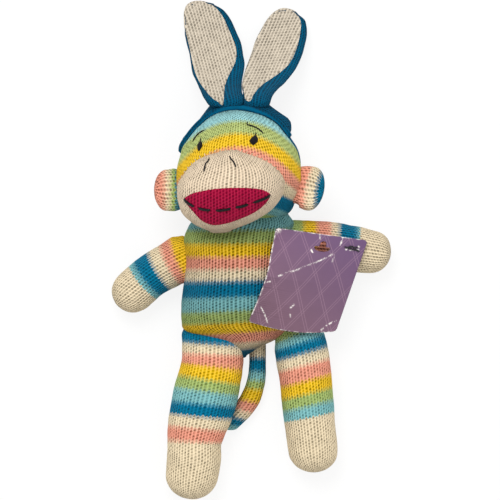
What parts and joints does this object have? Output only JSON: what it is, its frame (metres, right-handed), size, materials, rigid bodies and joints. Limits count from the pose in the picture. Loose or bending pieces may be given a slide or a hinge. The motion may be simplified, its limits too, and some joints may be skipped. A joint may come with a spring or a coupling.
{
  "type": "stuffed sock monkey doll",
  "caption": "Stuffed knitted monkey doll in a bunny-eared hood, lying on its back, with jointed head, ears, limbs and tail, and a card swing tag.",
  "frame": {"origin": "centre of the overall box at the surface the doll lies on", "axes": "+Y from the feet to the tips of the bunny ears, +Z out of the doll's front, +X to the right as seen from the front"},
  "size_m": [0.2213, 0.3861, 0.1018],
  "materials": {
    "striped_knit": "machine knit cotton in stripes of blue, green, yellow, pink and cream",
    "cream_knit": "plain machine knit",
    "blue_knit": "plain machine knit",
    "pink_knit": "machine knit in pink and cream stripes",
    "magenta_knit": "plain machine knit",
    "polyester_fibrefill": "loose fibre",
    "black_thread": "embroidery thread",
    "printed_card": "printed card with a semi-gloss coating",
    "black_nylon": "moulded nylon"
  },
  "bodies": {
    "torso": {"torso_skin": "striped_knit", "torso_stuffing": "polyester_fibrefill", "tag_fastener": "black_nylon"},
    "head": {"head_skin": "striped_knit", "head_stuffing": "polyester_fibrefill", "muzzle_skin": "cream_knit", "muzzle_stuffing": "polyester_fibrefill", "mouth_patch": "magenta_knit", "mouth_stitching": "black_thread", "eye_left": "black_thread", "eye_right": "black_thread", "brow_left": "black_thread", "brow_right": "black_thread", "nostril_left": "black_thread", "nostril_right": "black_thread", "ear_left": "pink_knit", "ear_right": "pink_knit", "bunny_cap": "blue_knit"},
    "bunny_ear_left": {"bunny_ear_left_back": "blue_knit", "bunny_ear_left_lining": "cream_knit"},
    "bunny_ear_right": {"bunny_ear_right_back": "blue_knit", "bunny_ear_right_lining": "cream_knit"},
    "arm_left": {"arm_left_skin": "striped_knit", "arm_left_stuffing": "polyester_fibrefill"},
    "arm_right": {"arm_right_skin": "striped_knit", "arm_right_stuffing": "polyester_fibrefill"},
    "leg_left": {"leg_left_skin": "striped_knit", "leg_left_stuffing": "polyester_fibrefill"},
    "leg_right": {"leg_right_skin": "striped_knit", "leg_right_stuffing": "polyester_fibrefill"},
    "tail": {"tail_skin": "striped_knit", "tail_stuffing": "polyester_fibrefill"},
    "swing_tag": {"tag_card": "printed_card"}
  },
  "joints": [
    {"name": "neck_nod", "type": "hinge", "parent": "torso", "child": "head", "pos_m": [-0.008, 0.027, 0.03], "axis": [1, 0, 0], "range_deg": [-10, 10]},
    {"name": "bunny_ear_left_flop", "type": "hinge", "parent": "head", "child": "bunny_ear_left", "pos_m": [-0.025, 0.1198, 0.037], "axis": [1, 0, 0], "range_deg": [0, 75]},
    {"name": "bunny_ear_right_flop", "type": "hinge", "parent": "head", "child": "bunny_ear_right", "pos_m": [0.005, 0.1212, 0.037], "axis": [1, 0, 0], "range_deg": [0, 75]},
    {"name": "shoulder_left", "type": "hinge", "parent": "torso", "child": "arm_left", "pos_m": [-0.06385, -0.007, 0.021], "axis": [0, 0, -1], "range_deg": [-4, 60]},
    {"name": "shoulder_right", "type": "hinge", "parent": "torso", "child": "arm_right", "pos_m": [0.0429, 0.0076, 0.021], "axis": [0, 0, 1], "range_deg": [-30, 35]},
    {"name": "hip_left", "type": "hinge", "parent": "torso", "child": "leg_left", "pos_m": [-0.0284, -0.0705, 0.018], "axis": [-1, 0, 0], "range_deg": [0, 25]},
    {"name": "hip_right", "type": "hinge", "parent": "torso", "child": "leg_right", "pos_m": [0.031, -0.066, 0.018], "axis": [-1, 0, 0], "range_deg": [0, 25]},
    {"name": "tail_swing", "type": "hinge", "parent": "torso", "child": "tail", "pos_m": [0.0054, -0.0805, 0.007], "axis": [-1, 0, 0], "range_deg": [-45, 0]},
    {"name": "tag_swing", "type": "hinge", "parent": "torso", "child": "swing_tag", "pos_m": [0.0786, 0.0019, 0.0392], "axis": [-0.2778, 0.059, -0.9588], "range_deg": [-15, 3]}
  ]
}
